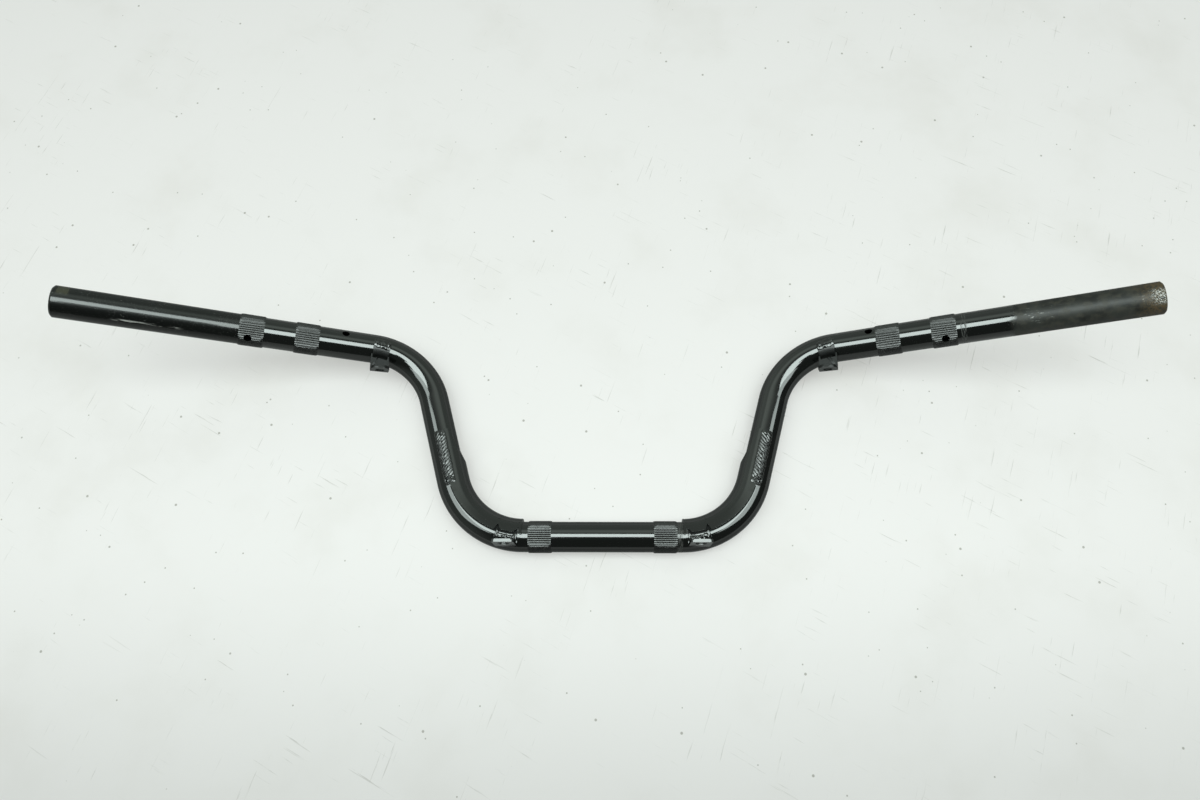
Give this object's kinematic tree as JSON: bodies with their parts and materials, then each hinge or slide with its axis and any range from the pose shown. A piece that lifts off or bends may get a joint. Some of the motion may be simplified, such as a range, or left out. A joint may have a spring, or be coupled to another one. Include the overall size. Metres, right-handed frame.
{
  "type": "scooter handlebar",
  "caption": "Bent tubular steel scooter handlebar with welded bend gussets, bracket tabs and knurled bands, painted gloss black and worn at the grips.",
  "frame": {"origin": "Middle of the straight clamp length, on the tube's axis", "axes": "+X towards the rider's right, along the bar. +Y the way the risers go, towards the grips. +Z towards the rider, the way the grips sweep."},
  "size_m": [0.757, 0.1672, 0.1261],
  "materials": {
    "gloss_black_paint": "gloss black enamel over steel, scratched and dulled at the grips",
    "painted_weld": "the same gloss black over rippled weld metal"
  },
  "bodies": {
    "root": {"handlebar_tube": "gloss_black_paint", "left_gusset": "gloss_black_paint", "left_upper_bracket": "gloss_black_paint", "left_lower_ear": "gloss_black_paint", "left_gusset_weld": "painted_weld", "left_bracket_weld": "painted_weld", "left_ear_weld": "painted_weld", "right_gusset": "gloss_black_paint", "right_upper_bracket": "gloss_black_paint", "right_lower_ear": "gloss_black_paint", "right_gusset_weld": "painted_weld", "right_bracket_weld": "painted_weld", "right_ear_weld": "painted_weld"}
  },
  "joints": []
}
